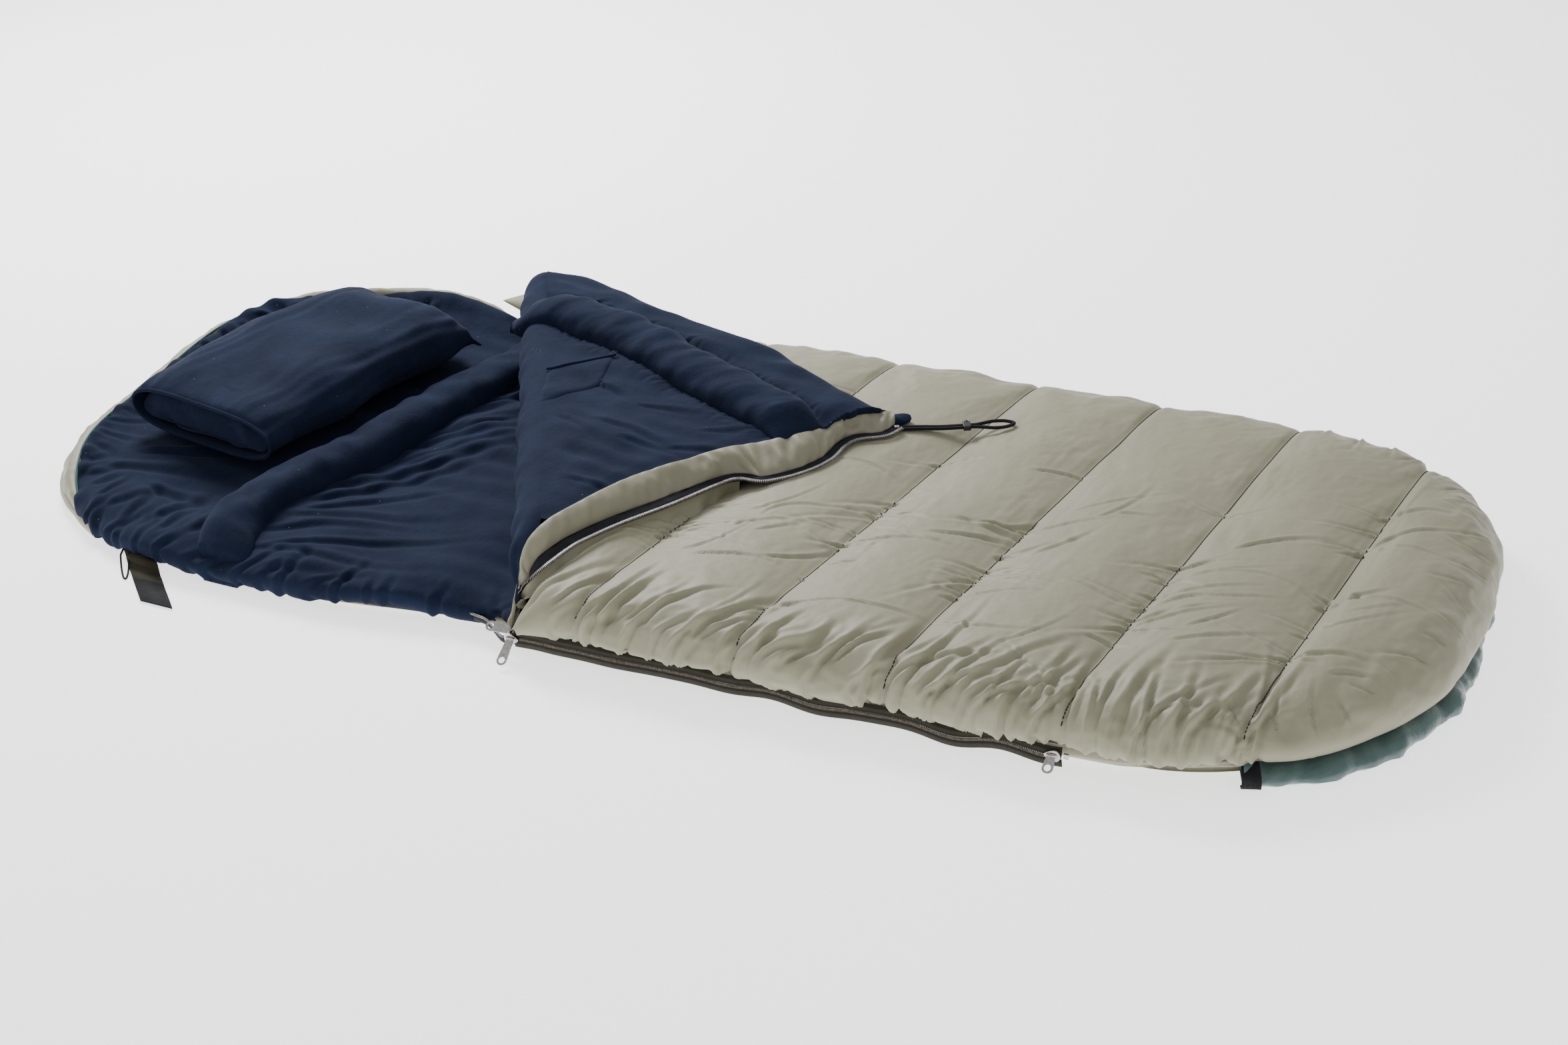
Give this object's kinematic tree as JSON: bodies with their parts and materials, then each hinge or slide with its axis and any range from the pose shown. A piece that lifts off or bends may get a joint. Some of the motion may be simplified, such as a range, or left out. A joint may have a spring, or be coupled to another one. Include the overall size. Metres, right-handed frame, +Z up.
{
  "type": "bivy sack",
  "caption": "Padded bedchair sleeping bag lying flat, its quilted cover folded back at one corner, with a fleece lining, a pillow, neck baffles and a sliding zip",
  "frame": {"origin": "on the floor under the middle of the bag, on the flat underside of the base", "axes": "+X from the head to the foot, -Y towards the side with the main zip, +Z up"},
  "size_m": [2.2668, 1.0226, 0.199],
  "materials": {
    "olive_shell": "woven polyester shell, soft sheen",
    "tape_olive": "dark olive binding and webbing",
    "navy_fleece": "brushed fleece, matt",
    "wadding": "hollow-fibre wadding, matt",
    "teal_nylon": "coated nylon, satin",
    "black_webbing": "black tape, elastic and cord",
    "zip_metal": "nickel-plated",
    "black_plastic": "moulded nylon"
  },
  "bodies": {
    "root": {"base_shell": "olive_shell", "base_fill": "wadding", "base_lining": "navy_fleece", "head_seam_binding": "teal_nylon", "foot_seam_binding": "tape_olive", "base_neck_baffle": "navy_fleece", "base_neck_baffle_fill": "wadding", "head_pocket": "olive_shell", "head_pocket_elastic": "black_webbing", "foot_pocket": "teal_nylon", "foot_pocket_elastic": "black_webbing", "cover_lining": "navy_fleece", "cover_fill": "wadding", "cover_shell": "olive_shell", "cover_fold": "navy_fleece", "zip_tape_base": "black_webbing", "zip_tape_cover": "black_webbing", "zip_chain_base": "zip_metal", "zip_chain_cover": "zip_metal", "zip_bottom_stop": "zip_metal", "far_zip_tape_base": "black_webbing", "far_zip_tape_cover": "black_webbing", "far_zip_chain_base": "zip_metal", "far_zip_chain_cover": "zip_metal", "far_zip_bottom_stop": "zip_metal", "elastic_loop": "black_webbing"},
    "flap": {"flap_shell": "olive_shell", "flap_fill": "wadding", "flap_lining": "navy_fleece", "flap_neck_baffle": "navy_fleece", "flap_neck_baffle_fill": "wadding", "zip_guard": "olive_shell", "flap_zip_tape": "black_webbing", "flap_zip_chain": "zip_metal", "zip_top_stop": "zip_metal", "zip_end_tab": "navy_fleece", "inner_pocket": "navy_fleece", "neck_drawcord": "black_webbing"},
    "cord_lock": {"cord_lock_body": "black_plastic", "cord_lock_spring": "zip_metal"},
    "cord_lock_plunger": {"cord_lock_plunger": "black_plastic"},
    "pillow": {"pillow_case": "navy_fleece", "pillow_pad": "wadding", "pillow_piping": "navy_fleece"},
    "main_slider": {"main_slider": "zip_metal"},
    "outer_pull": {"outer_pull": "zip_metal"},
    "inner_pull": {"inner_pull": "zip_metal"},
    "bottom_slider": {"bottom_slider": "zip_metal"},
    "bottom_pull": {"bottom_pull": "zip_metal"},
    "far_slider": {"far_slider": "zip_metal"},
    "far_pull": {"far_pull": "zip_metal"},
    "side_strap": {"strap_webbing": "tape_olive", "strap_fastener": "black_webbing"}
  },
  "joints": [
    {"name": "flap_fold", "type": "hinge", "parent": "root", "child": "flap", "pos_m": [-0.13, -0.353, 0.1225], "axis": [-0.4809, 0.8768, 0], "range_deg": [-150, 0], "deforming": ["cover_fold"]},
    {"name": "pillow_lift", "type": "slide", "parent": "root", "child": "pillow", "axis": [0, 0, 1], "range_m": [0, 0.3]},
    {"name": "main_slider_travel", "type": "slide", "parent": "root", "child": "main_slider", "axis": [-1, 0, 0], "range_m": [-0.62, 0]},
    {"name": "outer_pull_swing", "type": "hinge", "parent": "main_slider", "child": "outer_pull", "pos_m": [-0.131, -0.4602, 0.032], "axis": [-1, 0, 0], "range_deg": [0, 110]},
    {"name": "inner_pull_swing", "type": "hinge", "parent": "main_slider", "child": "inner_pull", "pos_m": [-0.135, -0.4482, 0.0345], "axis": [0, 1, 0], "range_deg": [0, 100]},
    {"name": "bottom_slider_travel", "type": "slide", "parent": "root", "child": "bottom_slider", "axis": [-1, 0, 0], "range_m": [0, 0.15]},
    {"name": "bottom_pull_swing", "type": "hinge", "parent": "bottom_slider", "child": "bottom_pull", "pos_m": [0.68, -0.4602, 0.032], "axis": [-1, 0, 0], "range_deg": [0, 110]},
    {"name": "far_slider_travel", "type": "slide", "parent": "root", "child": "far_slider", "axis": [1, 0, 0], "range_m": [0, 1.15]},
    {"name": "far_pull_swing", "type": "hinge", "parent": "far_slider", "child": "far_pull", "pos_m": [-0.535, 0.4602, 0.032], "axis": [1, 0, 0], "range_deg": [0, 110]},
    {"name": "cord_lock_travel", "type": "slide", "parent": "flap", "child": "cord_lock", "axis": [0.8768, 0.4809, 0], "range_m": [-0.05, 0.04]},
    {"name": "cord_lock_press", "type": "slide", "parent": "cord_lock", "child": "cord_lock_plunger", "axis": [0.4809, -0.8768, 0], "range_m": [0, 0.003], "stiffness_N_per_m": 300, "springref_m": -0.001, "deforming": ["cord_lock_spring"]},
    {"name": "side_strap_swing", "type": "hinge", "parent": "root", "child": "side_strap", "pos_m": [-0.79, -0.44, 0.006], "axis": [-0.981, 0.1942, 0], "range_deg": [0, 85]}
  ]
}
